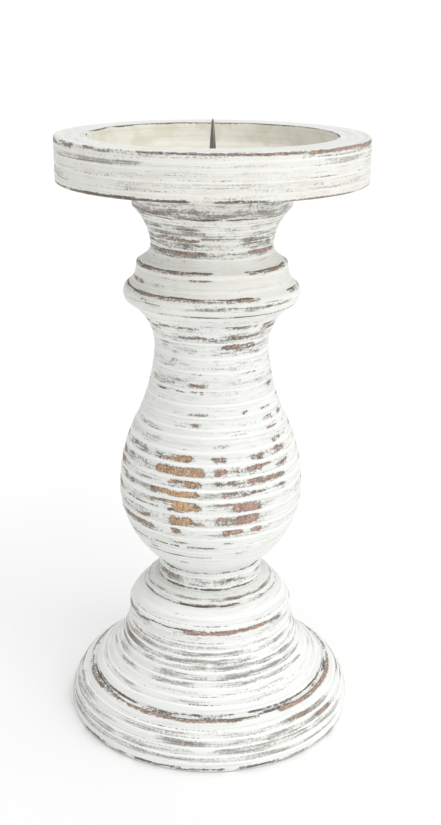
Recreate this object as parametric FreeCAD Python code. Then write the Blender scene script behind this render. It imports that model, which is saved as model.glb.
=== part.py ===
"""Turned wooden candlestick for a pillar candle, with a steel pricket.

Millimetres. The origin is the centre of the face it stands on, +Z up.
Heights are measured from the table, radii from the turning axis.
"""
import FreeCAD
import Part

import math
import os

V = FreeCAD.Vector

# ---- Overall sizes -----------------------------------------------------------
RIM_HEIGHT = 250.0
CUP_RADIUS = 61.8
CUP_UNDERSIDE = 232.5
RECESS_RADIUS = 49.0
RECESS_DEPTH = 9.0
SPIKE_TIP = 256.0
FOOT_RADIUS = 61.6

# ---- Joint planes between the turned pieces ----------------------------------
FELT_THICKNESS = 2.0
FOOT_UNDERSIDE = 0.4
PLINTH_BOTTOM = 19.5
VASE_BOTTOM = 62.5
CAPITAL_BOTTOM = 184.5

# ---- Felt disc ---------------------------------------------------------------
FELT_RADIUS = 52.0

# ---- Foot --------------------------------------------------------------------
FOOT_TOP_EDGE = 52.8
FOOT_TOP_EASE = (0.6, 0.4)
FOOT_GROOVE_HEIGHTS = (16.4, 13.9, 11.0, 7.9, 4.6)
FOOT_BEAD_DEPTH = 0.3
FOOT_WIDEST_HEIGHT = 3.4
FOOT_UNDERCUT = 0.5
FOOT_UNDERCUT_SWELL = 0.2

# ---- Plinth ------------------------------------------------------------------
COVE_FOOT_RADIUS = 51.0
COVE_FOOT_LIP = (0.4, 1.3)
COVE_WAIST_RADIUS = 35.2
COVE_MIDDLE = (39.9, 32.0)
COVE_TOP = 45.5
COVE_BEADS = 9
COVE_NECK_SWELL = 0.3
PLINTH_ARRIS = 50.4
PLINTH_SHOULDER_SWELL = 0.5
PLINTH_GROOVE = ((29.1, 58.0), (28.0, 58.4), (28.5, 59.0))
PLINTH_TOP_SWELL = 0.7
PLINTH_SEAT_LEDGE = 0.2

# ---- Vase --------------------------------------------------------------------
COLLAR_RADIUS = 22.3
COLLAR_TOP = 71.0
COLLAR_LINE = 0.6
BELLY_RADIUS = 38.6
BELLY_HEIGHT = 102.8
BELLY_LOWER_CURVE = 38.0
BELLY_UPPER_CURVE = 66.3
BELLY_BEADS_BOTTOM = 94.2
BELLY_BEADS_TOP = 134.9
BELLY_BEADS = 8
BELLY_LINE_HEIGHTS = (80.0, 83.0, 86.2, 89.6)
THROAT_RADIUS = 23.5
THROAT_HEIGHT = 164.0
THROAT_LOWER_SWEEP = (26.2, 148.5)
THROAT_UPPER_SWEEP = (25.4, 174.6)
SEAM_RADIUS = 34.3

# ---- Capital -----------------------------------------------------------------
RING_RADIUS = 35.9
RING_ARRIS_RADIUS = 35.0
RING_ARRIS_HEIGHT = 191.0
RING_TOP_HOLLOW = 0.5
SHOULDER_RADIUS = 30.5
SHOULDER_HEIGHT = 200.3
SHOULDER_SIDE = (0.4, 3.6)
NECK_START = (27.7, 202.1)
NECK_LOWER_SWEEP = (25.4, 204.7)
NECK = (24.8, 208.2)
NECK_UPPER_SWEEP = (26.8, 215.4)
FLANGE_RADIUS = 32.0
FLANGE_HEIGHT = 222.2
FLANGE_EASE = 0.7

# ---- Candle cup --------------------------------------------------------------
CUP_GROOVE_HEIGHTS = (247.2, 244.0, 239.6, 235.6)
RIM_ROUND = 0.9
RECESS_FILLET = 1.5

# ---- Joinery -----------------------------------------------------------------
SPIGOT_RADIUS = 15.0
SPIGOT_HEIGHT = 5.0
DOWEL_RADIUS = 8.0
DOWEL_LENGTH = 40.0
DOWEL_CHAMFER = 1.0
GLUE_GAP = 1.0
SCREW_CIRCLE = 28.0
SCREW_COUNT = 3
FIRST_SCREW_TURN = 0.25
SCREW_LENGTH = 40.0
SCREW_RADIUS = 2.25
SCREW_HEAD_RADIUS = 4.4
SCREW_SLOT_WIDTH = 1.1
SCREW_PLAIN_SHARE = 0.4
THREAD_PITCH = 2.0
THREAD_DEPTH = 0.6
POINT_LENGTH = 5.0

# ---- Pricket spike -----------------------------------------------------------
SPIKE_BASE_RADIUS = 3.0
SPIKE_NECK_RADIUS = 1.3
SPIKE_NECK_HEIGHT = 3.6
SPIKE_FOOT_HOLLOW = 0.5
SPIKE_TIP_RADIUS = 0.5
SPIKE_TIP_LENGTH = 0.9
SPIKE_SEAT_DEPTH = 1.5
SPIKE_SHANK_RADIUS = 2.0
SPIKE_SHANK_BOTTOM = 216.0

# ---- Surface detail ----------------------------------------------------------
BEAD_DEPTH = 0.35
LINE_DEPTH = 0.4
LINE_WIDTH = 0.9
LINE_CUTTER_REACH = 1.0

RECESS_FLOOR = RIM_HEIGHT - RECESS_DEPTH
SPIGOT_TOP = CUP_UNDERSIDE + SPIGOT_HEIGHT


# ---- Outline helpers ---------------------------------------------------------
def point(r, z):
    """A point of a turned outline, in the plane through the axis."""
    return V(r, 0, z)


def line(a, b):
    return Part.makeLine(point(*a), point(*b))


def arc(a, middle, b):
    return Part.Arc(point(*a), point(*middle), point(*b)).toShape()


def bulge(a, b, depth):
    """Arc from a to b whose middle stands out by depth, to the left of the way."""
    dr = b[0] - a[0]
    dz = b[1] - a[1]
    span = math.hypot(dr, dz)
    middle = ((a[0] + b[0]) / 2 - dz / span * depth, (a[1] + b[1]) / 2 + dr / span * depth)
    return arc(a, middle, b)


def beads_along(stations, depth):
    """Shallow turned beads, one between each pair of stations."""
    return [bulge(a, b, depth) for a, b in zip(stations, stations[1:])]


def stations_on(curve, count):
    """Evenly spaced stations (r, z) along an arc edge."""
    places = curve.discretize(Number=count + 1)
    return [(p.x, p.z) for p in places]


def turned(edges):
    """Solid of revolution about Z from a closed outline."""
    wire = Part.Wire(edges)
    return Part.Face(wire).revolve(V(0, 0, 0), V(0, 0, 1), 360)


def rod(radius, bottom, top, x=0.0, y=0.0):
    return Part.makeCylinder(radius, top - bottom, V(x, y, bottom))


def turned_line(radius, height):
    """Ring-shaped cutter for a fine V line around a surface of this radius."""
    half = LINE_WIDTH / 2 * (LINE_DEPTH + LINE_CUTTER_REACH) / LINE_DEPTH
    tip = (radius - LINE_DEPTH, height)
    lower = (radius + LINE_CUTTER_REACH, height - half)
    upper = (radius + LINE_CUTTER_REACH, height + half)
    return turned([line(tip, lower), line(lower, upper), line(upper, tip)])


def belly_radius(z):
    """Radius of the vase's belly: one circle below its widest place, one above."""
    curve = BELLY_LOWER_CURVE if z < BELLY_HEIGHT else BELLY_UPPER_CURVE
    return BELLY_RADIUS - curve + math.sqrt(curve**2 - (z - BELLY_HEIGHT) ** 2)


def belly_point(z):
    return (belly_radius(z), z)


def screw_places():
    """Centres of the foot screws, evenly around their circle."""
    turns = [math.tau * (i / SCREW_COUNT + FIRST_SCREW_TURN) for i in range(SCREW_COUNT)]
    return [(SCREW_CIRCLE * math.cos(t), SCREW_CIRCLE * math.sin(t)) for t in turns]


def threaded_outline(bottom, top, radius):
    """Zigzag of a wood-screw shank, from its point up to the plain part."""
    corners = [(0, bottom), (radius - THREAD_DEPTH, bottom + POINT_LENGTH)]
    z = bottom + POINT_LENGTH
    while z + THREAD_PITCH < top:
        corners.append((radius, z + THREAD_PITCH / 2))
        corners.append((radius - THREAD_DEPTH, z + THREAD_PITCH))
        z += THREAD_PITCH
    return corners


def chain(corners):
    return [line(a, b) for a, b in zip(corners, corners[1:])]


# ---- Sockets shared by two pieces --------------------------------------------
def dowel_socket(joint_height):
    half = DOWEL_LENGTH / 2 + GLUE_GAP
    return rod(DOWEL_RADIUS, joint_height - half, joint_height + half)


def screw_hole(x, y):
    """Countersunk clearance hole from the foot's underside to past the point."""
    head_depth = SCREW_HEAD_RADIUS - SCREW_RADIUS
    head = Part.makeCone(SCREW_HEAD_RADIUS, SCREW_RADIUS, head_depth, V(x, y, FELT_THICKNESS))
    return head.fuse(rod(SCREW_RADIUS, FELT_THICKNESS, FELT_THICKNESS + SCREW_LENGTH, x, y))


# ---- Pieces ------------------------------------------------------------------
def make_felt_pad():
    return rod(FELT_RADIUS, 0, FELT_THICKNESS)


def make_foot():
    """Disc whose rim curves down in beads that close up towards the table."""
    step_edge = (FOOT_TOP_EDGE - FOOT_TOP_EASE[0], PLINTH_BOTTOM)
    top_edge = (FOOT_TOP_EDGE, PLINTH_BOTTOM - FOOT_TOP_EASE[1])
    widest = (FOOT_RADIUS, FOOT_WIDEST_HEIGHT)
    drop = top_edge[1] - FOOT_WIDEST_HEIGHT
    reach = FOOT_RADIUS - FOOT_TOP_EDGE
    stations = [top_edge]
    for z in FOOT_GROOVE_HEIGHTS:
        climb = (z - FOOT_WIDEST_HEIGHT) / drop
        stations.append((FOOT_RADIUS - reach * climb**2, z))
    stations.append(widest)
    underside = (FOOT_RADIUS - FOOT_UNDERCUT, FOOT_UNDERSIDE)
    felt_edge = (FELT_RADIUS, FOOT_UNDERSIDE)
    felt_seat = (FELT_RADIUS, FELT_THICKNESS)
    edges = beads_along(stations, FOOT_BEAD_DEPTH)
    edges.append(bulge(widest, underside, FOOT_UNDERCUT_SWELL))
    edges.extend(chain([underside, felt_edge, felt_seat, (0, FELT_THICKNESS)]))
    edges.extend(chain([(0, FELT_THICKNESS), (0, PLINTH_BOTTOM), step_edge, top_edge]))
    foot = turned(edges)
    for x, y in screw_places():
        foot = foot.cut(screw_hole(x, y))
    return foot


def make_plinth():
    """Beaded cove, soft shoulder and the collar seat inside its dark groove."""
    lip = (COVE_FOOT_RADIUS, PLINTH_BOTTOM)
    cove_start = (COVE_FOOT_RADIUS - COVE_FOOT_LIP[0], PLINTH_BOTTOM + COVE_FOOT_LIP[1])
    cove_end = (COVE_WAIST_RADIUS, COVE_TOP)
    cove = arc(cove_start, COVE_MIDDLE, cove_end)
    arris = (COVE_WAIST_RADIUS, PLINTH_ARRIS)
    groove_lower, groove_deepest, groove_upper = PLINTH_GROOVE
    seat = (COLLAR_RADIUS + PLINTH_SEAT_LEDGE, VASE_BOTTOM)
    edges = beads_along(stations_on(cove, COVE_BEADS), -BEAD_DEPTH)
    edges.append(bulge(cove_end, arris, -COVE_NECK_SWELL))
    edges.append(bulge(arris, groove_lower, -PLINTH_SHOULDER_SWELL))
    edges.extend(chain([groove_lower, groove_deepest, groove_upper]))
    edges.append(bulge(groove_upper, seat, -PLINTH_TOP_SWELL))
    edges.extend(chain([seat, (0, VASE_BOTTOM), (0, PLINTH_BOTTOM), lip, cove_start]))
    plinth = turned(edges).cut(dowel_socket(VASE_BOTTOM))
    for x, y in screw_places():
        plinth = plinth.cut(screw_hole(x, y))
    return plinth


def make_vase():
    """Collar, beaded belly and throat, flaring out to the seam under the ring."""
    collar_bottom = (COLLAR_RADIUS, VASE_BOTTOM)
    collar_top = (COLLAR_RADIUS, COLLAR_TOP - COLLAR_LINE)
    collar_line = (COLLAR_RADIUS - COLLAR_LINE, COLLAR_TOP)
    belly_bottom = belly_point(COLLAR_TOP + COLLAR_LINE)
    under_beads = belly_point((COLLAR_TOP + BELLY_BEADS_BOTTOM) / 2)
    throat = (THROAT_RADIUS, THROAT_HEIGHT)
    seam = (SEAM_RADIUS, CAPITAL_BOTTOM)
    pitch = (BELLY_BEADS_TOP - BELLY_BEADS_BOTTOM) / BELLY_BEADS
    beads = [belly_point(BELLY_BEADS_BOTTOM + pitch * i) for i in range(BELLY_BEADS + 1)]
    edges = chain([seam, (0, CAPITAL_BOTTOM), (0, VASE_BOTTOM), collar_bottom])
    edges.extend(chain([collar_bottom, collar_top, collar_line, belly_bottom]))
    edges.append(arc(belly_bottom, under_beads, beads[0]))
    edges.extend(beads_along(beads, -BEAD_DEPTH))
    edges.append(arc(beads[-1], THROAT_LOWER_SWEEP, throat))
    edges.append(arc(throat, THROAT_UPPER_SWEEP, seam))
    vase = turned(edges)
    for z in BELLY_LINE_HEIGHTS:
        vase = vase.cut(turned_line(belly_radius(z), z))
    return vase.cut(dowel_socket(VASE_BOTTOM)).cut(dowel_socket(CAPITAL_BOTTOM))


def make_capital():
    """Bullnose ring, shoulder, neck and the flange that the cup is glued to."""
    seam = (SEAM_RADIUS, CAPITAL_BOTTOM)
    ring_side = (RING_RADIUS, (CAPITAL_BOTTOM + RING_ARRIS_HEIGHT) / 2)
    ring_arris = (RING_ARRIS_RADIUS, RING_ARRIS_HEIGHT)
    shoulder_foot = (SHOULDER_RADIUS + SHOULDER_SIDE[0], SHOULDER_HEIGHT - SHOULDER_SIDE[1])
    shoulder = (SHOULDER_RADIUS, SHOULDER_HEIGHT)
    flange_under = (FLANGE_RADIUS - FLANGE_EASE, FLANGE_HEIGHT)
    flange = (FLANGE_RADIUS, FLANGE_HEIGHT + FLANGE_EASE)
    flange_top = (FLANGE_RADIUS, CUP_UNDERSIDE)
    spigot_foot = (SPIGOT_RADIUS, CUP_UNDERSIDE)
    spigot_top = (SPIGOT_RADIUS, SPIGOT_TOP)
    edges = [arc(seam, ring_side, ring_arris)]
    edges.append(bulge(ring_arris, shoulder_foot, RING_TOP_HOLLOW))
    edges.extend(chain([shoulder_foot, shoulder, NECK_START]))
    edges.append(arc(NECK_START, NECK_LOWER_SWEEP, NECK))
    edges.append(arc(NECK, NECK_UPPER_SWEEP, flange_under))
    edges.extend(chain([flange_under, flange, flange_top, spigot_foot, spigot_top]))
    edges.extend(chain([spigot_top, (0, SPIGOT_TOP), (0, CAPITAL_BOTTOM), seam]))
    capital = turned(edges).cut(dowel_socket(CAPITAL_BOTTOM))
    return capital.cut(rod(SPIKE_SHANK_RADIUS, SPIKE_SHANK_BOTTOM, SPIGOT_TOP))


def make_candle_cup():
    """Thick dish: scored wall, rounded rim and a flat-floored candle recess."""
    cup = rod(CUP_RADIUS, CUP_UNDERSIDE, RIM_HEIGHT)
    cup = cup.makeFillet(RIM_ROUND, cup.Edges[:1] + cup.Edges[2:])
    recess = rod(RECESS_RADIUS, RECESS_FLOOR, RIM_HEIGHT + RECESS_DEPTH)
    floor_edge = [e for e in recess.Edges if e.CenterOfMass.z < RIM_HEIGHT and e.Closed]
    recess = recess.makeFillet(RECESS_FILLET, floor_edge)
    cup = cup.cut(recess)
    for z in CUP_GROOVE_HEIGHTS:
        cup = cup.cut(turned_line(CUP_RADIUS, z))
    cup = cup.cut(rod(SPIGOT_RADIUS, CUP_UNDERSIDE, SPIGOT_TOP))
    cup = cup.cut(rod(SPIKE_BASE_RADIUS, RECESS_FLOOR - SPIKE_SEAT_DEPTH, RIM_HEIGHT))
    return cup.cut(rod(SPIKE_SHANK_RADIUS, SPIGOT_TOP, RECESS_FLOOR))


def make_pricket_spike():
    """Slim steel cone on a wood-screw shank, its foot let into the cup's floor."""
    seat = RECESS_FLOOR - SPIKE_SEAT_DEPTH
    foot_edge = (SPIKE_BASE_RADIUS, RECESS_FLOOR)
    neck = (SPIKE_NECK_RADIUS, RECESS_FLOOR + SPIKE_NECK_HEIGHT)
    point_edge = (SPIKE_TIP_RADIUS, SPIKE_TIP - SPIKE_TIP_LENGTH)
    shank = threaded_outline(SPIKE_SHANK_BOTTOM, CUP_UNDERSIDE, SPIKE_SHANK_RADIUS)
    plain = [(SPIKE_SHANK_RADIUS, CUP_UNDERSIDE), (SPIKE_SHANK_RADIUS, seat)]
    edges = chain(shank + plain + [(SPIKE_BASE_RADIUS, seat), foot_edge])
    edges.append(bulge(foot_edge, neck, SPIKE_FOOT_HOLLOW))
    edges.extend(chain([neck, point_edge, (0, SPIKE_TIP), shank[0]]))
    return turned(edges)


def make_joint_dowels():
    """The two beech dowels, alike, one centred on each joint of the column."""
    dowels = []
    for joint_height in (VASE_BOTTOM, CAPITAL_BOTTOM):
        half = DOWEL_LENGTH / 2
        dowel = rod(DOWEL_RADIUS, joint_height - half, joint_height + half)
        ends = [e for e in dowel.Edges if e.Closed]
        dowels.append(dowel.makeChamfer(DOWEL_CHAMFER, ends))
    return Part.makeCompound(dowels)


def make_foot_screws():
    """The countersunk slotted wood screws, heads flush with the foot's underside."""
    head_depth = SCREW_HEAD_RADIUS - SCREW_RADIUS
    outline = [(0, 0), (SCREW_HEAD_RADIUS, 0), (SCREW_RADIUS, head_depth)]
    thread_start = SCREW_LENGTH * SCREW_PLAIN_SHARE
    outline.append((SCREW_RADIUS, thread_start))
    shank = threaded_outline(0, SCREW_LENGTH - thread_start, SCREW_RADIUS)
    outline.extend((r, SCREW_LENGTH - z) for r, z in reversed(shank))
    screw = turned(chain(outline + [(0, 0)]))
    slot_length = 3 * SCREW_HEAD_RADIUS
    slot_corner = V(-slot_length / 2, -SCREW_SLOT_WIDTH / 2, -head_depth / 2)
    screw = screw.cut(Part.makeBox(slot_length, SCREW_SLOT_WIDTH, head_depth, slot_corner))
    return Part.makeCompound([screw.translated(V(x, y, FELT_THICKNESS)) for x, y in screw_places()])


# ---- Write one STEP file per node --------------------------------------------
PIECES = {
    "felt_pad": make_felt_pad,
    "foot": make_foot,
    "plinth": make_plinth,
    "vase": make_vase,
    "capital": make_capital,
    "candle_cup": make_candle_cup,
    "pricket_spike": make_pricket_spike,
    "joint_dowels": make_joint_dowels,
    "foot_screws": make_foot_screws,
}

os.makedirs("parts", exist_ok=True)
for name, make in PIECES.items():
    make().exportStep(f"parts/{name}.step")
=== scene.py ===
"""Looks of the turned wooden candlestick: whitewashed wood rubbed back to brown, steel pricket."""

import math

import bpy
import numpy as np
from mathutils import Matrix, Vector


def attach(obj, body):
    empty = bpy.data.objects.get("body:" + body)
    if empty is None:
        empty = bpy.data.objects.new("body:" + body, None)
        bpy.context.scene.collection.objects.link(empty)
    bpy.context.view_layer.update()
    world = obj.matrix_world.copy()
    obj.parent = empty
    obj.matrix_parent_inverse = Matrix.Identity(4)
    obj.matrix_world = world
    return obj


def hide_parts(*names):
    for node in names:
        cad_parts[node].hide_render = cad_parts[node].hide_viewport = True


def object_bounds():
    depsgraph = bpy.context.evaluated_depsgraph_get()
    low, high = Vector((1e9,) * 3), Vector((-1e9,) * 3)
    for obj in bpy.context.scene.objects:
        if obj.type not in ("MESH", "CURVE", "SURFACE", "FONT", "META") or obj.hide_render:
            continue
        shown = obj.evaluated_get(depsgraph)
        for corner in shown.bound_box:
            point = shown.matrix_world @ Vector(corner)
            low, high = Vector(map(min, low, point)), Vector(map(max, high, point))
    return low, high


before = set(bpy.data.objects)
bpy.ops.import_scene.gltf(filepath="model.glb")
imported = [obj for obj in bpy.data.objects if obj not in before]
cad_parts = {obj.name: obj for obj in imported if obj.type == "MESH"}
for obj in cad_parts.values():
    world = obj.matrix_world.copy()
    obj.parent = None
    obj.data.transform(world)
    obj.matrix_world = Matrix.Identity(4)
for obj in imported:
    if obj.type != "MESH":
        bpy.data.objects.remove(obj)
cad_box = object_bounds()

MM = 0.001
COLUMNS = 240           # points around each turned piece
STEP = 0.34             # millimetres between points along an outline
SKIN_EASE = 0.8         # millimetres over which tool marks fade in at the ends of the skin
HIDDEN = 99             # added to the miss of a hidden row, so that none is ever the nearest
CLEARANCE = 0.01        # millimetres left between the widest point and the side of the CAD box
WIDEST = cad_box[1][0] / MM - CLEARANCE
CREASE = 55             # degrees between faces above which an edge stays sharp

# Rubbed places
SPAN_EASE = 1.6         # millimetres over which a rubbed place fades at its ends
SMEAR_EASE = 6.0        # the same for a place where the paint is only dragged thin
HALO = 0.25             # share of a rubbed place's strength that dulls the paint round it
HALO_WIDTH = 1.7        # height of that dull place, as a multiple of the rubbed place's height
FRONT_WIDTH = 160       # degrees that the listed wear covers
LONGEST_FAR = 45        # degrees, the longest place copied to the far side
FAR_COVER = (0.12, 0.75)    # least and greatest share of the far side that is rubbed at one height

# Grooves
PAINT_HELD_AND_HIGHLIGHT = 0.8        # how much a groove protects its paint from rubbing through, which also paints a highlight
PAINT_CLEAN_AND_HIGHLIGHT = 0.6       # and from being dragged thin, which keeps that painted highlight clean
CROWN_WEAR = 0.1        # extra rubbing on the crown between two grooves

# Seeds: a piece's number times one of these, plus a mark's height in tenths of a millimetre
WANDER, FADE, FAR, BEND, PATCH = 1000, 2000, 5000, 6000, 7000

# Heights and radii that neighbouring pieces share, millimetres
FOOT_TOP = 19.5
COLLAR_TOP = 62.5
RING_SEAM = 184.5
CUP_BOTTOM = 232.5
CUP_SIDE = 61.8
DOWEL = 8.0             # radius of the dowel holes
SHANK = 2.0             # radius of the hole for the spike's shank
CORE = 0.2              # radius at which a hidden face is closed with a fan


# ---- Outlines of the turned pieces, millimetres, (radius, height) -----------------
def walk(start, *moves):
    """Points along an outline: a move is an end point, or a middle point and an end point of an arc."""
    points = [np.array(start, float)]
    for move in moves:
        a = points[-1]
        if len(move) == 2 and not isinstance(move[0], tuple):
            b = np.array(move, float)
            count = max(1, int(math.dist(a, b) / STEP))
            points.extend(a + (b - a) * (i + 1) / count for i in range(count))
        else:
            points.extend(arc(a, np.array(move[0], float), np.array(move[1], float)))
    return np.array(points)


def arc(a, m, b):
    """Points after a on the circle through a, m and b."""
    (ax, ay), (mx, my), (bx, by) = a, m, b
    d = 2 * (ax * (my - by) + mx * (by - ay) + bx * (ay - my))
    a2, m2, b2 = ax**2 + ay**2, mx**2 + my**2, bx**2 + by**2
    c = np.array([a2 * (my - by) + m2 * (by - ay) + b2 * (ay - my),
                  a2 * (bx - mx) + m2 * (ax - bx) + b2 * (mx - ax)]) / d
    radius = math.dist(a, c)
    ta, tm, tb = (math.atan2(p[1] - c[1], p[0] - c[0]) for p in (a, m, b))
    sweep = (tb - ta) % math.tau
    if (tm - ta) % math.tau > sweep:
        sweep -= math.tau
    count = max(2, int(abs(sweep) * radius / STEP))
    turns = ta + sweep * np.arange(1, count + 1) / count
    return [c + radius * np.array([math.cos(t), math.sin(t)]) for t in turns]


# ---- Noise on the (row, column) grid, periodic around the axis ---------------------
def smooth_noise(along, cell_mm, cells_round, seed):
    """Value noise: cells of cell_mm along the outline, cells_round of them around the axis."""
    rng = np.random.default_rng(seed)
    rows = along / cell_mm
    top = int(rows.max()) + 3
    lattice = rng.uniform(-1, 1, (top, cells_round))
    cols = np.arange(COLUMNS) / COLUMNS * cells_round
    r0, c0 = rows.astype(int), cols.astype(int)
    fr, fc = rows - r0, cols - c0
    fr, fc = fr * fr * (3 - 2 * fr), fc * fc * (3 - 2 * fc)
    c1 = (c0 + 1) % cells_round
    upper = lattice[r0][:, c0] * (1 - fc) + lattice[r0][:, c1] * fc
    lower = lattice[r0 + 1][:, c0] * (1 - fc) + lattice[r0 + 1][:, c1] * fc
    return upper * (1 - fr)[:, None] + lower * fr[:, None]


def fractal(along, cell_mm, cells_round, seed):
    """Three octaves of that noise, each half as wide and half as strong as the one before."""
    total = np.zeros((len(along), COLUMNS))
    for i in range(3):
        total += smooth_noise(along, cell_mm / 2**i, cells_round * 2**i, seed + i) / 2**i
    return total


def around_axis(cells_round, seed):
    """The same noise with no change along the outline: one value for each column."""
    return smooth_noise(np.array([0.0]), 1.0, cells_round, seed)[0]


def ramp(x, low, high):
    """0 below low, 1 above high, smooth between."""
    t = np.clip((x - low) / (high - low), 0, 1)
    return t * t * (3 - 2 * t)


# ---- Turned piece: grid, tool marks, rubbed places ---------------------------------
ANGLES = np.arange(COLUMNS) / COLUMNS * math.tau - math.pi      # 0 faces the viewer, + to the right


class Turned:
    """One turned piece as a grid of points, with its tool marks and fields of wear.

    skin is the visible outline; before and after are the corners of the hidden faces at its ends.
    The fields: rub is how far the paint is rubbed through (below naught where paint is kept, in the grooves
    also a painted highlight), smear how thin it is dragged, grime how much dirt and painted shade lies on
    it, cream how yellowed it is.
    """

    def __init__(self, name, seed, before, skin, after):
        self.name, self.seed = name, seed
        self.rz = np.array([*before, *skin, *after], float)
        way = np.diff(self.rz, axis=0)
        steps = np.hypot(*way.T)
        self.along = np.concatenate([[0], np.cumsum(steps)])
        way /= steps[:, None]
        slope = np.concatenate([way[:1], way[1:] + way[:-1], way[-1:]])
        slope /= np.hypot(*slope.T)[:, None]
        self.normal = np.stack([slope[:, 1], -slope[:, 0]], axis=1)
        shape = (len(self.rz), COLUMNS)
        self.offset, self.rub = np.zeros(shape), np.zeros(shape)
        self.grime, self.smear, self.cream = np.zeros(shape), np.zeros(shape), np.zeros(shape)
        start, end = self.along[len(before)], self.along[len(before) + len(skin) - 1]
        inset = np.minimum(self.along - start, end - self.along)
        self.skin = np.clip(inset / SKIN_EASE, 0, 1)

    def key(self, kind, z):
        """The seed for a mark at height z."""
        return self.seed * kind + int(z * 10)

    def row(self, z, r=None):
        """The skin's row nearest height z, and nearest radius r where the height alone is not enough."""
        miss = np.abs(self.rz[:, 1] - z) + (0 if r is None else np.abs(self.rz[:, 0] - r))
        return (miss + np.where(self.skin > 0, 0, HIDDEN)).argmin()

    def from_mark(self, z, r=None, drift=0.12):
        """Distance of every grid point from a turned mark, which wanders a little as it goes round."""
        wander = around_axis(7, self.key(WANDER, z)) * drift
        return self.along[:, None] - self.along[self.row(z, r)] - wander[None, :]

    def groove(self, z, depth, width, dirt_and_shade, r=None):
        """A V groove: white paint stays in it, set low as a painted highlight, with dirt and painted shade
        on its upper flank.
        """
        x = self.from_mark(z, r)
        fade = 0.8 + 0.2 * around_axis(9, self.key(FADE, z))
        self.offset -= depth * fade * np.clip(1 - np.abs(x) / width, 0, 1)
        # Kept white paint, centred a little below the groove's middle: also a painted highlight on the lower
        # flank.
        kept_paint_and_highlight = np.exp(-((x + width * 0.1) / (width * 0.65)) ** 2)
        self.rub -= PAINT_HELD_AND_HIGHLIGHT * kept_paint_and_highlight
        self.smear -= PAINT_CLEAN_AND_HIGHLIGHT * kept_paint_and_highlight
        # Dirt on the upper flank, together with painted shade of that downward-facing flank.
        self.grime += dirt_and_shade * fade * np.exp(-((x - width * 0.8) / (width * 0.45)) ** 2)

    def grooves(self, heights, depth, width, dirt_and_shade, swell):
        """Grooves with a rounded land between each pair."""
        for z in heights:
            self.groove(z, depth, width, dirt_and_shade)
        for low, high in zip(heights, heights[1:]):
            self.land(low, high, swell)

    def land(self, low, high, swell):
        """The wood between two grooves, swollen by so many millimetres and rubbed the more for it."""
        start, end = self.along[self.row(low)], self.along[self.row(high)]
        x = (self.along - (start + end) / 2) / (abs(end - start) / 2)
        crown = np.clip(1 - x * x, 0, 1)[:, None]
        self.offset += swell * crown
        self.rub += CROWN_WEAR * crown

    def worn(self, z, *spans, height=0.8, strength=0.78, r=None):
        """Places rubbed through to the wood at one height: (from, to, share of strength) in degrees."""
        self.rub += strength * self.streak(z, spans, height, r)
        self.smear += HALO * strength * self.streak(z, spans, HALO_WIDTH * height, r, SMEAR_EASE)

    def smeared(self, z, *spans, height=1.2, strength=0.8, r=None):
        """Paint dragged thin and grey along the same kind of spans, without baring the wood."""
        self.smear += strength * self.streak(z, spans, height, r, SMEAR_EASE)

    def stain_and_shade(self, z, *spans, height=0.3, strength=0.9, r=None):
        """Dark dirt left along a line at one height, over the same kind of spans; at the cup's lower edge
        also painted shade.
        """
        self.grime += strength * self.streak(z, spans, height, r)

    def streak(self, z, spans, height, r, ease=SPAN_EASE):
        """A field of 1 over each span; the spans of the far side are drawn at random to match.

        It is a dome across the height given, bends a little as it goes round, and fades over ease
        millimetres beyond the ends of each span.
        """
        up = self.from_mark(z, r, 0.3 * height) / height
        bend = around_axis(36, self.key(BEND, z))
        field = np.zeros_like(up)
        radius = self.rz[self.row(z, r), 0]
        for start, end, *share in [*spans, *self.far_spans(z, spans)]:
            half = math.radians(end - start) / 2
            turn = (ANGLES - math.radians((start + end) / 2) + math.pi) % math.tau - math.pi
            side = np.maximum(np.abs(turn) / half - 1, 0) * half * radius / ease
            lean = up / 1.15 + 0.3 * bend[None, :]
            reach = np.clip(1 - lean**2 / 1.6 - side[None, :] / 1.4, 0, 1) ** 0.75
            field = np.maximum(field, reach * (share[0] if share else 1))
        return field * (1 + 0.3 * smooth_noise(self.along, 1.2, 48, self.key(PATCH, z)))

    def far_spans(self, z, spans):
        """Spans for the side that faces away, with the lengths and gaps of those given."""
        rng = np.random.default_rng(self.key(FAR, z))
        lengths = [min(end - start, LONGEST_FAR) for start, end, *_ in spans]
        cover = min(FAR_COVER[1], max(FAR_COVER[0], sum(lengths) / FRONT_WIDTH))
        turn = FRONT_WIDTH / 2 + rng.uniform(0, 12)
        found = []
        while turn < 360 - FRONT_WIDTH / 2:
            length = rng.choice(lengths) * rng.uniform(0.7, 1.3)
            found.append((turn, turn + length, rng.uniform(0.6, 1.0)))
            turn += length + np.mean(lengths) * (1 / cover - 1) * rng.uniform(0.4, 1.6)
        return found

    def handled(self, low, high, amount, turn=0.0, lobe=0.0):
        """Paint thinned (or spared) by handling between two heights, more towards one direction."""
        z = self.rz[:, 1]
        band = ramp(z, low - 2, low + 2) * (1 - ramp(z, high - 2, high + 2)) * self.skin
        side = 1 + lobe * np.cos(ANGLES - math.radians(turn))
        self.rub += amount * band[:, None] * side[None, :]

    def finish_surface(self, body):
        """Hand-turned unevenness, uneven rubbing and the edge of the paint film, then the mesh."""
        seed = self.seed * 1000
        lively = self.skin[:, None]
        self.offset += lively * 0.04 * fractal(self.along, 1.6, 5, seed + 1)
        self.offset += lively * 0.07 * smooth_noise(self.along, 14.0, 4, seed + 11)
        streaks = fractal(self.along, 1.1, 14, seed + 21)
        blotches = fractal(self.along, 6.0, 9, seed + 31)
        self.rub += lively * (0.1 * streaks + 0.09 * blotches)
        film = 0.1          # thickness of the paint, millimetres
        self.offset -= lively * film * ramp(self.rub, 0.42, 0.58)
        return self.build(body)

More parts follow.
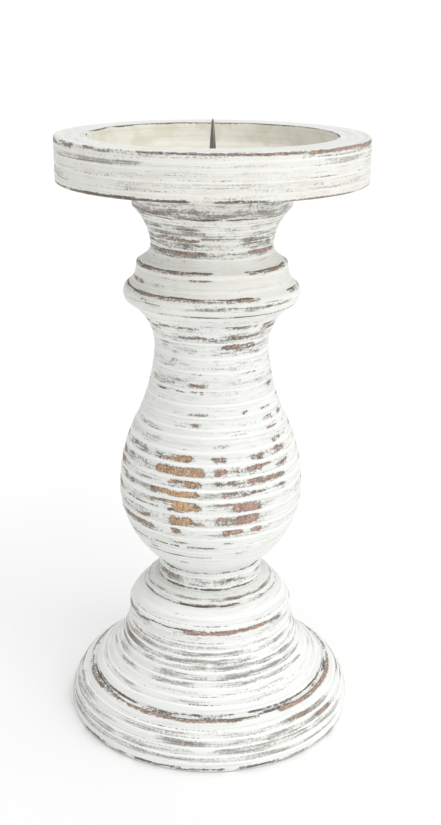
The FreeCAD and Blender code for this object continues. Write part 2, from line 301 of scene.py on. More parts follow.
    def build(self, body):
        """The mesh: rings of quads closed by a fan at each end, with the fields as attributes."""
        offset = self.offset * self.skin[:, None]
        r = self.rz[:, 0, None] + self.normal[:, 0, None] * offset
        r = np.minimum(r, WIDEST)
        z = self.rz[:, 1, None] + self.normal[:, 1, None] * offset
        points = np.stack([r * np.sin(ANGLES), -r * np.cos(ANGLES), z], axis=2).reshape(-1, 3)
        rows = len(self.rz)
        ends = [[0, 0, self.rz[0, 1]], [0, 0, self.rz[-1, 1]]]
        points = np.concatenate([points, ends]) * MM
        col = np.arange(COLUMNS)
        nxt = np.roll(col, -1)
        ring = np.stack([col, nxt, nxt + COLUMNS, col + COLUMNS], axis=1)
        quads = (ring[None] + np.arange(rows - 1)[:, None, None] * COLUMNS).reshape(-1, 4)
        top = (rows - 1) * COLUMNS
        first, last = rows * COLUMNS, rows * COLUMNS + 1
        fans = [(first, n, c) for c, n in zip(col, nxt)]
        fans += [(last, top + c, top + n) for c, n in zip(col, nxt)]
        mesh = bpy.data.meshes.new(self.name)
        mesh.from_pydata(points.tolist(), [], quads.tolist() + fans)
        mesh.shade_smooth()
        mesh.set_sharp_from_angle(angle=math.radians(CREASE))
        along = np.repeat(self.along[:, None] * MM, COLUMNS, axis=1)
        for key, grid in (("rub", self.rub), ("grime", self.grime), ("smear", self.smear),
                          ("cream", self.cream), ("along", along)):
            layer = mesh.attributes.new(key, "FLOAT", "POINT")
            layer.data.foreach_set("value", np.append(grid.ravel(), (0, 0)).astype("f4"))
        piece = bpy.data.objects.new(self.name, mesh)
        bpy.context.collection.objects.link(piece)
        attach(piece, body)
        return piece


# ---- Node helpers ---------------------------------------------------------------
class Nodes:
    """Small helper for building a material's node tree."""

    def __init__(self, name):
        self.material = bpy.data.materials.new(name)
        self.material.use_nodes = True
        self.tree = self.material.node_tree
        self.shader = self.tree.nodes["Principled BSDF"]

    def add(self, kind, **inputs):
        """A node: set_NAME sets a property, iN feeds input N, any other name feeds that input."""
        node = self.tree.nodes.new(kind)
        for key, value in inputs.items():
            if key.startswith("set_"):
                setattr(node, key[4:], value)
        for key, value in inputs.items():
            if not key.startswith("set_"):
                by_number = key[0] == "i" and key[1:].isdigit()
                self.feed(node.inputs[int(key[1:]) if by_number else key], value)
        return node

    def feed(self, socket, value):
        """Link a socket to another, or set it to a constant."""
        if isinstance(value, bpy.types.NodeSocket):
            self.tree.links.new(value, socket)
        else:
            socket.default_value = value

    def maths(self, operation, a, b=0.0):
        return self.add("ShaderNodeMath", set_operation=operation, i0=a, i1=b).outputs[0]

    def vectors(self, operation, **inputs):
        return self.add("ShaderNodeVectorMath", set_operation=operation, **inputs).outputs[0]

    def place(self):
        return self.add("ShaderNodeTexCoord").outputs["Object"]

    def attribute(self, name):
        return self.add("ShaderNodeAttribute", set_attribute_name=name).outputs["Fac"]

    def noise(self, vector, scale, detail, roughness):
        return self.add("ShaderNodeTexNoise", Vector=vector, Scale=scale, Detail=detail,
                        Roughness=roughness).outputs["Fac"]

    def step(self, value, low, high):
        """0 below low, 1 above high, smooth between."""
        return self.add("ShaderNodeMapRange", set_interpolation_type="SMOOTHSTEP",
                        i0=value, i1=low, i2=high).outputs[0]

    def roughen(self, value, *noises):
        """A field whose edge is broken up by noises, each with its strength."""
        for noise, strength in noises:
            swing = self.maths("MULTIPLY", self.maths("SUBTRACT", noise, 0.5), strength)
            value = self.maths("ADD", value, swing)
        return value

    def mix(self, factor, a, b):
        node = self.add("ShaderNodeMix", set_data_type="RGBA", i0=factor)
        self.feed(node.inputs[6], a)
        self.feed(node.inputs[7], b)
        return node.outputs[2]

    def between(self, value, low, high, pair):
        """The first colour of a pair below low and the second above high."""
        return self.mix(self.step(value, low, high), *pair)

    def tint(self, base, mask, strength, colour):
        """A base turned towards a colour under a mask, by no more than the strength."""
        return self.mix(self.maths("MULTIPLY", mask, strength), base, colour)

    def around(self, turning, rising):
        """Coordinates that change by turning round the axis, and by rising along a metre of outline."""
        flat = self.vectors("MULTIPLY", i0=self.place(), i1=(1, 1, 0))
        turned = self.vectors("SCALE", i0=self.vectors("NORMALIZE", i0=flat), Scale=turning)
        lift = self.maths("MULTIPLY", self.attribute("along"), rising)
        rise = self.add("ShaderNodeCombineXYZ", Z=lift).outputs[0]
        return self.vectors("ADD", i0=turned, i1=rise)

    def output(self, colour, roughness, bump_height, distance, strength=1.0):
        """Feed the shader; distance is the depth of the bump in metres."""
        self.feed(self.shader.inputs["Base Color"], colour)
        self.feed(self.shader.inputs["Roughness"], roughness)
        bump = self.add("ShaderNodeBump", Height=bump_height, Strength=strength, Distance=distance)
        self.feed(self.shader.inputs["Normal"], bump.outputs[0])
        return self.material


# Linear colours. A pair is the two ends of a mottled colour.
# Fresh paint; in the grooves it also stands for a painted highlight.
FRESH_PAINT_AND_HIGHLIGHT = (0.93, 0.935, 0.91, 1), (0.975, 0.975, 0.955, 1)
HANDLED = (0.79, 0.81, 0.775, 1), (0.895, 0.905, 0.875, 1)
IVORY = (0.81, 0.795, 0.725, 1), (0.72, 0.685, 0.575, 1)
OCHRE = (0.42, 0.24, 0.12, 1), (0.66, 0.42, 0.22, 1)
RUSSET = (0.30, 0.175, 0.13, 1), (0.52, 0.345, 0.275, 1)
STALE = (0.15, 0.115, 0.092, 1), (0.31, 0.255, 0.22, 1)
PORE = (0.08, 0.05, 0.035, 1)
RESIDUE = (0.74, 0.72, 0.66, 1)
BRUSHED = (0.62, 0.635, 0.605, 1)
MILKY = (0.93, 0.93, 0.89, 1)
SCORED = (0.50, 0.49, 0.46, 1)
THINNED = (0.42, 0.40, 0.365, 1)
SPECKED = (0.30, 0.27, 0.24, 1)
DRAGGED = (0.225, 0.212, 0.19, 1)
# Dirt, and painted shade on the grooves' upper flanks and along the cup's lower edge.
SOILED_AND_SHADED = (0.085, 0.062, 0.05, 1)
BEECH = (0.42, 0.25, 0.12, 1), (0.68, 0.47, 0.27, 1)
FELT = (0.055, 0.05, 0.045, 1), (0.09, 0.083, 0.075, 1)
FIBRE = (0.17, 0.16, 0.145, 1)

# How fast the grain noise changes per metre along x, y and z, for wood with its grain along one axis.
GRAIN = {"x": (120, 900, 900), "z": (900, 900, 60)}

# Where rubbed wood is ochre, metres: near this x and this height. Elsewhere it is russet.
OCHRE_X = -0.012
OCHRE_Z = 0.112


def ochre_or_russet(n, place, blotch, grain_axis):
    """Below 0.35 where the wood is ochre and above 0.75 where it is russet."""
    across = n.add("ShaderNodeSeparateXYZ", Vector=place).outputs["X"]
    side = n.maths("ABSOLUTE", n.maths("SUBTRACT", across, OCHRE_X))
    side = n.maths("ADD", n.maths("MULTIPLY", side, 24.0), n.maths("SUBTRACT", blotch, 0.22))
    if grain_axis == "x":       # the discs are russet all over
        return n.maths("ADD", side, 1.4)
    up = n.add("ShaderNodeSeparateXYZ", Vector=place).outputs["Z"]
    away = n.maths("ABSOLUTE", n.maths("SUBTRACT", up, OCHRE_Z))
    return n.maths("ADD", side, n.maths("MULTIPLY", away, 9.0))


def painted_wood(name, grain_axis):
    """White paint brushed on in the lathe, rubbed back to bare wood where the rub field is high."""
    n = Nodes(name)
    place = n.place()
    hair = n.noise(n.around(turning=2.2, rising=2600.0), scale=1.0, detail=3.0, roughness=0.6)
    streak = n.noise(n.around(turning=3.6, rising=1000.0), scale=1.0, detail=4.0, roughness=0.62)
    broad = n.noise(n.around(turning=2.0, rising=160.0), scale=1.0, detail=2.0, roughness=0.5)
    scores = n.noise(n.around(turning=0.5, rising=1700.0), scale=1.0, detail=2.0, roughness=0.5)
    speck = n.noise(place, scale=1100.0, detail=3.0, roughness=0.65)
    mottle = n.noise(place, scale=430.0, detail=2.0, roughness=0.5)
    blotch = n.noise(place, scale=120.0, detail=3.0, roughness=0.6)
    flecks = n.noise(place, scale=1500.0, detail=3.0, roughness=0.65)
    worn, grime, smear = n.attribute("rub"), n.attribute("grime"), n.attribute("smear")

    # How far the paint is gone: thin, then bare to stale wood, then deep to clean wood.
    rub = n.roughen(worn, (streak, 1.5), (hair, 0.5), (speck, 1.2), (mottle, 0.9))
    thin = n.step(rub, low=0.14, high=0.5)
    bare = n.step(rub, low=0.55, high=0.61)
    deep = n.step(n.roughen(worn, (blotch, 1.6), (speck, 1.8), (streak, 1.0)), low=0.66, high=0.92)

    # Wood: ochre or russet with dark pores, stale at the edges, with flecks of paint left on it.
    grain_at = n.vectors("MULTIPLY", i0=place, i1=GRAIN[grain_axis])
    grain = n.noise(grain_at, scale=1.0, detail=4.0, roughness=0.65)
    pores = n.step(n.noise(grain_at, scale=2.3, detail=2.0, roughness=0.5), low=0.56, high=0.7)
    ochre = n.between(grain, 0.3, 0.7, OCHRE)
    russet = n.between(grain, 0.3, 0.7, RUSSET)
    wood = n.between(ochre_or_russet(n, place, blotch, grain_axis), 0.35, 0.75, (ochre, russet))
    wood = n.tint(wood, pores, 0.5, PORE)
    wood = n.mix(deep, n.between(speck, 0.4, 0.62, STALE), wood)
    wood = n.tint(wood, n.step(flecks, low=0.54, high=0.64), 0.62, RESIDUE)

    # Paint: fresh in the grooves, where it is also a painted highlight, greyer where handled, ivory where
    # the cream field is high.
    handled = n.between(hair, 0.3, 0.7, HANDLED)
    handled = n.tint(handled, n.step(streak, low=0.5, high=0.72), 0.5, BRUSHED)
    coat = n.mix(n.step(worn, low=-0.4, high=-0.02), n.between(hair, 0.28, 0.72, FRESH_PAINT_AND_HIGHLIGHT), handled)
    coat = n.tint(coat, n.step(broad, low=0.35, high=0.7), 0.3, MILKY)
    coat = n.mix(n.attribute("cream"), coat, n.between(blotch, 0.42, 0.66, IVORY))

    # Marks in the paint: fine scores, thinning with specks, dragged paint, dirt with painted shade on groove
    # flanks and the cup's lower edge.
    score = n.step(scores, low=0.56, high=0.68)
    coat = n.tint(coat, score, 0.16, SCORED)
    coat = n.tint(coat, thin, 0.2, THINNED)
    veil = n.maths("MULTIPLY", thin, n.step(speck, low=0.4, high=0.62))
    veil = n.maths("MULTIPLY", veil, n.step(worn, low=0.02, high=0.26))
    coat = n.tint(coat, veil, 0.6, SPECKED)
    dull = n.step(n.roughen(smear, (streak, 2.0), (hair, 2.4), (speck, 1.6)), low=0.25, high=1.15)
    dull = n.maths("MULTIPLY", dull, n.step(smear, low=0.04, high=0.3))
    coat = n.tint(coat, dull, 0.82, DRAGGED)
    # Dirt and painted shade: groove upper flanks and the cup's lower edge.
    dirt_and_shade = n.step(n.roughen(grime, (streak, 2.2), (speck, 1.8)), low=0.4, high=0.8)
    dirt_and_shade = n.maths("MULTIPLY", dirt_and_shade, n.step(grime, low=0.05, high=0.3))
    coat = n.tint(coat, dirt_and_shade, 0.9, SOILED_AND_SHADED)

    roughness = n.maths("ADD", n.maths("MULTIPLY", bare, 0.14), n.maths("MULTIPLY", hair, 0.2))
    roughness = n.maths("ADD", roughness, 0.42)
    height = n.maths("ADD", n.maths("MULTIPLY", hair, 0.35), n.maths("MULTIPLY", streak, 0.3))
    height = n.maths("SUBTRACT", height, n.maths("MULTIPLY", bare, 0.8))
    height = n.maths("SUBTRACT", height, n.maths("MULTIPLY", score, 0.3))
    height = n.maths("ADD", height, n.maths("MULTIPLY", n.maths("MULTIPLY", grain, bare), 0.35))
    n.shader.inputs["Specular IOR Level"].default_value = 0.35
    return n.output(n.mix(bare, coat, wood), roughness, height, distance=0.00022)


# ---- Small metal and joinery materials ----------------------------------------------
def steel(name, colour, roughness, fineness):
    """Drawn or turned bright metal with fine marks round its axis, fineness of them to the metre."""
    n = Nodes(name)
    place = n.place()
    marks_at = n.vectors("MULTIPLY", i0=place, i1=(200, 200, fineness))
    marks = n.noise(marks_at, scale=1.0, detail=3.0, roughness=0.6)
    cloud = n.noise(place, scale=400.0, detail=2.0, roughness=0.5)
    shade = n.mix(cloud, tuple(c * 0.85 for c in colour) + (1,), colour + (1,))
    rough = n.maths("ADD", n.maths("MULTIPLY", marks, 0.16), roughness)
    n.shader.inputs["Metallic"].default_value = 1.0
    return n.output(shade, rough, marks, distance=0.00002, strength=0.6)


def beech():
    """Raw dowel wood with grain along its length."""
    n = Nodes("beech_dowel")
    grain_at = n.vectors("MULTIPLY", i0=n.place(), i1=(1400, 1400, 90))
    grain = n.noise(grain_at, scale=1.0, detail=4.0, roughness=0.6)
    rough = n.maths("ADD", n.maths("MULTIPLY", grain, 0.2), 0.5)
    return n.output(n.between(grain, 0.3, 0.7, BEECH), rough, grain, distance=0.0001)


def felt():
    """Pressed wool felt: matted fibres, a little lighter where they stand up."""
    n = Nodes("pressed_felt")
    place = n.place()
    fibres = n.noise(place, scale=2600.0, detail=4.0, roughness=0.7)
    clumps = n.noise(place, scale=300.0, detail=3.0, roughness=0.6)
    colour = n.mix(n.step(fibres, low=0.5, high=0.8), n.between(clumps, 0.3, 0.7, FELT), FIBRE)
    rough = n.maths("ADD", n.maths("MULTIPLY", fibres, 0.1), 0.88)
    n.shader.inputs["Sheen Weight"].default_value = 0.4
    return n.output(colour, rough, fibres, distance=0.0004)


# ---- The turned pieces, their tool marks and where they are rubbed ---------------------
# Heights are millimetres. Angles are degrees round the axis: 0 faces the viewer, + runs to the right.
# A span is (from, to), or (from, to, share of the strength).
foot = Turned("foot_turned", 1, [(CORE, 2.0), (52.0, 2.0)], walk(
    (52.0, 0.4), (61.0, 0.4), ((61.45, 1.7), (61.55, 3.4)), ((61.0, 8.2), (59.6, 11.2)),
    ((56.6, 15.9), (52.8, 19.1)), (52.2, FOOT_TOP)), [(CORE, FOOT_TOP)])
foot.grooves((4.6, 7.9, 11.0, 13.9, 16.4), depth=0.32, width=0.5, dirt_and_shade=0.5, swell=0.18)
foot.worn(19.0, (-85, -60, 1.1), (-58, -44, 0.75), (-40, -20), (-20, -3), (-2, 12, 0.85), (13, 22, 0.7),
          (34, 82, 1.3), height=0.7, strength=0.9)
foot.stain_and_shade(19.4, (-88, -20), (-22, 30), (28, 88), height=0.3, strength=1.1)
foot.worn(15.2, (-82, -74, 0.8), (36, 46), (46, 54, 0.8), height=0.8, strength=0.72)
foot.smeared(15.2, (-80, -62), (-37, -10, 0.8), (0, 30, 0.8), (34, 60, 1.1), height=1.3)
foot.worn(12.5, (-82, -74), (51, 60), (-12, -4, 0.7), height=0.8, strength=0.7)
foot.smeared(12.5, (-80, -48, 0.9), (-17, -3, 1.1), (3, 24, 0.8), (25, 36, 1.2), (36, 60), height=1.4)
foot.smeared(9.5, (-76, -45), (-34, -12, 0.9), (6, 28, 0.9), (31, 40), (50, 66), height=1.4)
foot.smeared(6.2, (-64, -25, 0.8), (-20, 4), (2, 30, 0.9), (44, 62, 0.6), height=1.4)
foot.handled(2.0, 19.5, -0.12)
foot.stain_and_shade(1.4, (-60, -35), (-30, 5), (12, 60), height=0.9, strength=0.75)

plinth = Turned("plinth_turned", 2, [(CORE, FOOT_TOP)], walk(
    (51.0, FOOT_TOP), (50.6, 20.8), ((39.9, 32.0), (35.2, 45.5)), ((35.5, 48.0), (35.2, 50.4)),
    ((32.6, 54.6), (29.1, 58.0)), (28.1, 58.3), (28.5, 59.0), ((25.9, 61.3), (22.5, COLLAR_TOP))),
    [(DOWEL, COLLAR_TOP), (DOWEL, 41.5), (CORE, 41.5)])
plinth.grooves((22.9, 25.2, 27.9, 30.4, 33.5, 36.1, 39.0, 41.9, 44.6),
               depth=0.3, width=0.48, dirt_and_shade=0.55, swell=0.16)
plinth.groove(52.0, depth=0.25, width=0.45, dirt_and_shade=0.8)
plinth.groove(55.2, depth=0.16, width=0.7, dirt_and_shade=0.3)
plinth.smeared(60.7, (-60, -44), (-27, -18), (6, 40), (50, 78), height=0.7)
plinth.worn(60.8, (16, 30, 0.8), (44, 60, 0.7), height=0.5, strength=0.66)
plinth.stain_and_shade(58.6, (-80, -45), (-43, -28, 0.7), (-27, 24), (36, 82, 0.8), height=0.6, strength=1.0)
plinth.worn(58.9, (-27, 5), (5, 22), height=0.4)
plinth.worn(49.8, (-17, 43), (44, 58, 0.6), height=0.75, strength=1.3)
plinth.stain_and_shade(50.4, (-80, -62, 0.8), (-48, -14), (-16, 60, 0.8), height=0.35, strength=0.9)
plinth.smeared(47.4, (-60, -10, 0.7), (20, 66, 0.8), height=1.2, strength=0.5)
plinth.smeared(42.8, (-65, -28), (-28, -8, 0.8), (2, 35, 0.8), height=1.1, strength=0.7)
plinth.worn(42.8, (-64, -50, 0.8), height=0.7, strength=0.66)
plinth.smeared(40.1, (-78, -62), (-50, -32, 0.9), (-18, 27), (40, 62, 0.8), height=1.1)
plinth.smeared(37.2, (-80, -48, 1.3), (-48, -28, 0.7), (-26, 25, 1.1), (50, 70, 0.7), height=1.2)
plinth.worn(37.2, (-80, -60, 0.9), height=0.7, strength=0.7)
plinth.smeared(34.5, (-80, -60, 1.1), (-43, -38), (-23, -4), (5, 45, 1.1), (51, 58, 1.2), (70, 80),
               height=1.2)
plinth.worn(34.5, (52, 66, 0.9), height=0.7, strength=0.7)
plinth.smeared(31.6, (-73, -66), (-29, -4, 1.1), (9, 45, 1.1), (45, 58, 1.1), (61, 70, 1.1), height=1.2)
plinth.smeared(28.9, (-63, -55), (-31, -12), (8, 62, 0.9), height=1.1)
plinth.smeared(26.4, (-26, -6, 0.8), (10, 40, 0.7), height=0.8, strength=0.6)
plinth.smeared(24.0, (-60, -45), (-20, -4, 0.8), (20, 46, 0.8), height=0.7, strength=0.6)
plinth.handled(20.0, 58.0, -0.14)
plinth.stain_and_shade(20.2, (-70, -38), (-30, 10, 0.7), (20, 85, 0.8), height=0.6)

vase = Turned("vase_turned", 3, [(CORE, 83.5), (DOWEL, 83.5), (DOWEL, COLLAR_TOP)], walk(
    (22.3, COLLAR_TOP), (22.3, 70.4), (21.75, 71.0), (22.1, 71.6), ((34.1, 85.5), (38.6, 102.8)),
    ((36.9, 118.4), (31.0, 134.9)), ((26.2, 148.5), (23.5, 164.0)), ((26.0, 175.6), (34.3, RING_SEAM))),
    [(DOWEL, RING_SEAM), (DOWEL, 163.5), (CORE, 163.5)])
vase.grooves((93.2, 98.8, 104.7, 110.7, 115.0, 119.6, 124.6, 129.5, 134.9),
             depth=0.34, width=0.75, dirt_and_shade=0.4, swell=0.24)
for z in (80.2, 82.9, 86.1, 89.0):
    vase.groove(z, depth=0.2, width=0.35, dirt_and_shade=0.5)
for z in (137.8, 142.2, 146.7, 152.8, 159.7, 165.2, 171.5):
    vase.groove(z, depth=0.14, width=0.5, dirt_and_shade=0.3)
for z in (64.2, 68.6):
    vase.groove(z, depth=0.1, width=0.35, dirt_and_shade=0.5)
vase.stain_and_shade(70.6, (-80, -20), (-18, 40), (42, 80), height=0.3, strength=0.65)
vase.stain_and_shade(63.2, (-80, -16), (-10, 57), (58, 70), height=0.45, strength=0.85)
vase.smeared(66.2, (-75, -35, 1.15), (-37, -10, 0.9), (-8, 12, 0.6), (12, 38), (48, 76, 0.8),
             height=2.0, strength=0.6)
vase.worn(66.8, (-62, -46, 0.9), (20, 31, 0.7), height=0.9, strength=0.56)
vase.worn(79.0, (-24, -20), height=0.4)
vase.stain_and_shade(83.4, (-50, -2), (-1, 0), height=0.3)
vase.worn(85.3, (-45, -40, 0.7), (20, 24, 0.6), height=0.6)
vase.stain_and_shade(88.9, (-65, -30), (-27, -22), (-15, 5, 0.6), height=0.35)
vase.worn(91.2, (-22, -17), (9, 12, 0.7), height=0.5)
vase.worn(96.6, (-66, -38, 0.62), (-23, -20), (9, 18), (27, 31), height=1.1, strength=1.0)
vase.stain_and_shade(95.4, (-68, -28), height=0.5, strength=0.6)
vase.worn(102.0, (-24, -18), (-17, -13), (4, 12, 0.46), (17, 29, 0.85), height=1.5, strength=1.12)
vase.worn(100.6, (-50, -40, 0.6), (-9, -6), (16, 24), height=0.7, strength=1.0)
vase.worn(107.6, (-21, -13), (-10, -8), (15, 30, 0.9), height=1.6, strength=1.12)
vase.worn(109.3, (-38, -12), (5, 11), height=0.5, strength=1.0)
vase.stain_and_shade(106.2, (-62, -35), (-25, -20), height=0.4)
vase.worn(113.0, (-39, -9), (8, 16, 0.6), (17, 35, 0.44), (42, 52, 0.36), (-68, -66, 0.6), (-58, -56, 0.6),
          height=1.1, strength=1.12)
vase.worn(117.4, (-25, -22), (-19, -17), (-15, -7), (3, 22, 0.42), (24, 35, 0.66), (38, 51, 0.7),
          height=1.2, strength=1.12)
vase.worn(121.9, (-36, -6), (4, 9, 0.75), (10, 20, 0.42), (25, 33, 0.68), (48, 58, 0.45),
          height=1.6, strength=1.15)
vase.worn(123.1, (-66, -60, 0.65), (-55, -48, 0.6), (36, 43, 0.8), height=0.5, strength=1.0)
vase.worn(126.9, (-68, -61, 0.65), (-56, -50, 0.6), (-38, -31, 0.7), (-27, -14), (3, 9, 0.7), (28, 36, 0.6),
          (50, 57, 0.6), height=1.2, strength=1.12)
vase.worn(131.5, (5, 11, 0.7), (50, 57), height=0.8)
vase.worn(135.6, (-68, -64, 0.8), (-58, -50, 0.7), (-49, -42, 0.7), (50, 57), (71, 76, 0.8), height=0.5)
vase.worn(139.2, (48, 57, 0.8), (70, 74), (-13, -11), height=0.7)
vase.worn(143.6, (-17, -6), (48, 57, 0.8), (28, 30), height=0.6)
vase.worn(145.5, (-63, -50, 0.5), height=0.5)
vase.stain_and_shade(151.5, (-59, -26, 0.6), (-16, -14), (-10, -8), height=0.6)
vase.worn(152.0, (62, 74, 0.7), height=0.8)
vase.worn(154.6, (-60, -40, 0.55), (-20, -6), height=0.6, strength=0.95)
vase.worn(158.8, (36, 45, 0.6), (-18, -11, 0.7), height=0.5)
for z in (96.0, 101.8, 107.6, 113.0, 117.3, 121.9):
    vase.smeared(z, (-74, -42), (2, 34, 0.6), height=1.7, strength=0.56)
for z in (88.0, 127.0, 132.0, 137.0):
    vase.smeared(z, (-70, -46, 0.9), (46, 58, 0.8), height=1.3, strength=0.55)
vase.smeared(155.0, (-64, -36), (50, 72, 0.7), height=1.6, strength=0.7)
vase.smeared(162.5, (-70, -30, 0.8), (30, 60, 0.6), height=1.6, strength=0.5)
vase.worn(170.0, (15, 42), height=1.2, strength=0.52)
vase.stain_and_shade(170.2, (14, 44), height=1.0, strength=0.85)
vase.worn(173.9, (-30, 2, 0.85), (16, 43), height=0.8, strength=0.54)
vase.stain_and_shade(174.0, (-28, 4, 0.8), (18, 40), height=0.6, strength=0.8)
vase.worn(176.4, (50, 70), (-62, -50, 0.6), height=0.9, strength=0.75)
vase.smeared(168.0, (-66, -20, 0.8), (10, 62, 0.9), height=2.2, strength=0.52)
vase.smeared(173.0, (-60, -10, 0.9), (12, 66), height=2.0, strength=0.55)
vase.worn(178.5, (-47, -38), (-32, -12, 0.8), (11, 38, 0.8), (49, 64), height=0.7, strength=0.66)

capital = Turned("capital_turned", 4, [(CORE, 205.5), (DOWEL, 205.5), (DOWEL, RING_SEAM)], walk(
    (34.3, RING_SEAM), ((35.9, 187.8), (35.0, 191.0)), ((32.4, 193.4), (30.9, 196.7)), (30.5, 200.3),
    (27.7, 202.1), ((25.4, 204.7), (24.8, 208.2)), ((26.8, 215.4), (31.3, 222.2)), (32.0, 222.9),
    (32.0, CUP_BOTTOM)),
    [(15.0, CUP_BOTTOM), (15.0, 237.5), (SHANK, 237.5), (SHANK, 216.0), (CORE, 216.0)])
for z in (189.3, 193.9, 198.9, 205.0, 208.6, 211.5, 213.8, 216.2, 219.0):
    capital.groove(z, depth=0.18, width=0.45, dirt_and_shade=0.4)
capital.stain_and_shade(185.0, (-35, 75), height=0.35)
capital.worn(189.2, (-50, -44), (-11, 16), (17, 29, 0.7), (36, 50), height=0.6, strength=0.85)
capital.smeared(188.0, (-60, -30, 0.6), (-14, 52), height=1.0, strength=0.7)
capital.worn(191.2, (-62, -8), (-10, 30), (64, 76), height=0.8, strength=0.78)
capital.stain_and_shade(191.7, (-66, 32), (62, 78), height=0.4, strength=1.0)
capital.worn(194.7, (-76, -60), (-45, -38), height=0.7)
capital.worn(198.2, (-38, -28, 0.6), (-15, -1), height=0.45)
capital.worn(200.5, (-78, -3), (29, 70), height=0.8, strength=0.78)
capital.stain_and_shade(200.9, (-80, -1), (27, 74), height=0.4, strength=1.1)
capital.worn(207.4, (-60, -30, 0.7), (-24, -8, 0.85), (37, 57), (57, 76, 0.8), height=0.65, strength=0.82)
capital.worn(211.4, (-58, -50, 0.7), (-42, -28, 0.8), (-26, -15, 0.9), (31, 45, 1.2), (45, 62, 1.1),
             height=0.8)
capital.worn(213.4, (-48, -35, 0.8), (-8, 8, 0.7), (12, 22, 0.7), (29, 40), (58, 66), height=0.5)
capital.worn(216.6, (-65, -40, 0.8), (-34, -12, 0.75), (14, 18), height=0.6)
capital.stain_and_shade(221.4, (-80, -25), (-20, 35), (38, 80), height=0.4)
capital.worn(223.4, (-62, -30), (-22, -6, 0.7), height=0.8, strength=0.5)
for z in (207.0, 211.0, 214.5, 218.0):
    capital.smeared(z, (-80, -8), (2, 20, 0.4), (32, 72, 0.8), height=1.6, strength=0.78)
capital.smeared(223.2, (-78, -20), (-24, 12, 0.9), (12, 34, 0.6), (34, 72, 0.9), height=1.6, strength=1.0)
capital.smeared(227.5, (-74, -10, 0.9), (-6, 20, 0.6), (22, 66, 0.8), height=1.8, strength=0.7)
capital.handled(204.0, 231.0, 0.16, -70.0, 0.6)
capital.handled(186.0, 203.0, -0.1)
capital.cream += 0.3
vase.handled(63.0, 70.0, 0.12, -60.0, 0.8)
vase.handled(150.0, 183.0, 0.08, 60.0, 0.8)

cup = Turned("cup_turned", 5, [(SHANK, 237.5), (15.0, 237.5), (15.0, CUP_BOTTOM)], walk(
    (31.0, CUP_BOTTOM), (60.9, CUP_BOTTOM), ((61.5, 232.7), (CUP_SIDE, 233.4)), (CUP_SIDE, 249.1),
    ((61.55, 249.75), (60.9, 250.0)),
    (49.5, 250.0), ((49.1, 249.85), (49.0, 249.4)), (49.0, 242.5), ((48.56, 241.44), (47.5, 241.0)),
    (3.0, 241.0)), [(3.0, 239.5), (SHANK, 239.5)])
for z, depth in ((247.2, 0.12), (244.0, 0.32), (239.8, 0.34), (235.8, 0.34)):
    cup.groove(z, depth, width=0.55, dirt_and_shade=0.55, r=CUP_SIDE)
cup.handled(233.0, 249.0, 0.04)
cup.smear += 0.23 * (cup.rz[:, 0] > 61.7)[:, None]
cup.smeared(246.0, (-70, -58, 0.6), (-50, -30), (44, 74, 0.6), height=1.4, strength=0.65)
cup.smeared(237.8, (-30, 10, 0.5), (30, 60, 0.5), height=1.4, strength=0.4)
cup.worn(249.6, (-66, -56, 0.8), (-48, -44, 0.7), (-40, -28, 0.5), (-25, -12, 0.9), (-14, 30, 0.9), (28, 52),
         (50, 78, 1.2), height=0.55, strength=0.8, r=61.7)
cup.worn(248.7, (-64, -57, 0.7), (34, 37, 0.8), (52, 75, 0.8), height=0.5, r=CUP_SIDE)
# Dirt and painted shade along the cup's lower edge.
cup.stain_and_shade(232.9, (-80, -9), (2, 80), height=0.8, strength=1.0, r=61.4)
cup.worn(232.9, (-70, -20, 0.6), (2, 74, 0.9), height=0.6, r=61.4)
cup.stain_and_shade(249.9, (100, 178, 0.8), (180, 200, 0.8), (200, 235, 1.1), (240, 262, 0.8),
            height=0.4, strength=1.2, r=49.2)
cup.worn(249.9, (205, 232), (110, 130, 0.8), height=0.5, r=49.2)
cup.cream[:] = (ramp(-cup.rz[:, 0], -49.3, -48.9) * (cup.rz[:, 1] > 240))[:, None]
cup.rub -= 0.25 * cup.cream
cup.cream += 0.4 * (cup.rz[:, 0] > 61.0)[:, None]

# ---- Put them together -----------------------------------------------------------------
spindle_paint = painted_wood("whitewashed_spindle", "z")
disc_paint = painted_wood("whitewashed_disc", "x")
for piece, node, paint in ((foot, "foot", disc_paint), (plinth, "plinth", disc_paint),
                           (vase, "vase", spindle_paint), (capital, "capital", spindle_paint),
                           (cup, "candle_cup", disc_paint)):
    made = piece.finish_surface("root")
    made.data.materials.append(paint)
    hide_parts(node)

bright = steel("bright_steel", (0.30, 0.285, 0.28), roughness=0.12, fineness=3000.0)
zinc = steel("zinc_screw", (0.66, 0.65, 0.6), roughness=0.3, fineness=800.0)
for node, material in (("felt_pad", felt()), ("joint_dowels", beech()),
                       ("pricket_spike", bright), ("foot_screws", zinc)):
    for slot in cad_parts[node].material_slots:
        slot.material = material

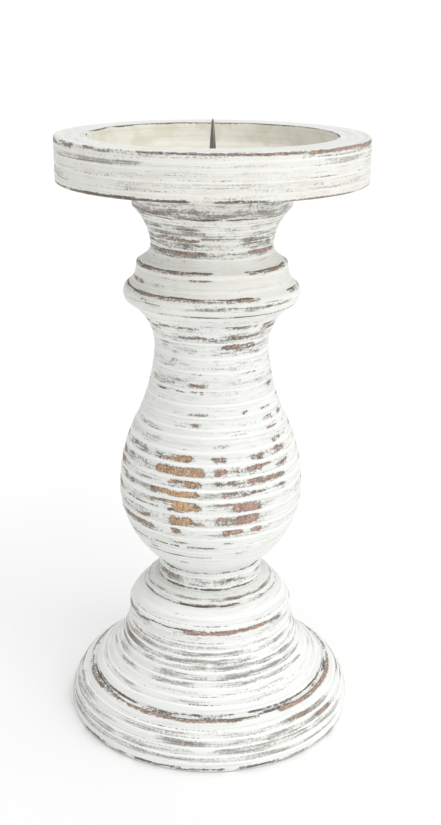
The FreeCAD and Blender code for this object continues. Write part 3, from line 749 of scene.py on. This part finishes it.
# ---- Floor, light and camera --------------------------------------------------------------
FLOOR_REACH = 20        # metres from the object to each side of the floor
floor_mesh = bpy.data.meshes.new("floor")
corners = [(-1, -1), (1, -1), (1, 1), (-1, 1)]
floor_mesh.from_pydata([(x * FLOOR_REACH, y * FLOOR_REACH, 0) for x, y in corners], [], [(0, 1, 2, 3)])
floor = bpy.data.objects.new("floor", floor_mesh)
bpy.context.collection.objects.link(floor)
pale = bpy.data.materials.new("pale_floor")
pale.use_nodes = True
floor_shader = pale.node_tree.nodes["Principled BSDF"]
floor_shader.inputs["Base Color"].default_value = (0.96, 0.96, 0.96, 1)
floor_shader.inputs["Roughness"].default_value = 0.9
floor_shader.inputs["Specular IOR Level"].default_value = 0.1
floor.data.materials.append(pale)

# A soft white room: it shines at half strength, and looks white where nothing stands before it.
world = bpy.data.worlds.new("studio")
world.use_nodes = True
room = world.node_tree
seen = room.nodes.new("ShaderNodeLightPath").outputs["Is Camera Ray"]
lift = room.nodes.new("ShaderNodeMapRange")
lift.inputs["To Min"].default_value = 0.5
lift.inputs["To Max"].default_value = 1.0
room.links.new(seen, lift.inputs["Value"])
room.links.new(lift.outputs["Result"], room.nodes["Background"].inputs["Strength"])
room.nodes["Background"].inputs["Color"].default_value = (1.0, 1.0, 1.0, 1)
bpy.context.scene.world = world
bpy.context.scene.view_settings.view_transform = "Standard"


def soft_sun(name, towards, strength, spread):
    """A distant light from the direction given, in watts to the square metre, spread degrees wide."""
    lamp = bpy.data.lights.new(name, "SUN")
    lamp.energy = strength
    lamp.angle = math.radians(spread)
    piece = bpy.data.objects.new(name, lamp)
    piece.rotation_euler = Vector(towards).to_track_quat("Z", "Y").to_euler()
    bpy.context.collection.objects.link(piece)


soft_sun("key", towards=(0.55, -0.75, 0.6), strength=0.75, spread=50)
soft_sun("side", towards=(0.85, -0.5, 0.12), strength=0.4, spread=36)
soft_sun("top", towards=(0.1, 0.0, 1.0), strength=1.35, spread=80)

VIEWPOINT = (0, -0.4724, 0.298)     # metres
LOOK_DOWN, ROLL, YAW = 19.02, 0.49, -0.48       # degrees
camera = bpy.data.cameras.new("camera")
camera.lens = 51.74
camera.sensor_width = 36.0
viewer = bpy.data.objects.new("camera", camera)
viewer.matrix_world = (Matrix.Translation(VIEWPOINT) @ Matrix.Rotation(math.radians(YAW), 4, "Z")
                       @ Matrix.Rotation(math.radians(90 - LOOK_DOWN), 4, "X")
                       @ Matrix.Rotation(math.radians(ROLL), 4, "Z"))
bpy.context.collection.objects.link(viewer)
bpy.context.scene.camera = viewer
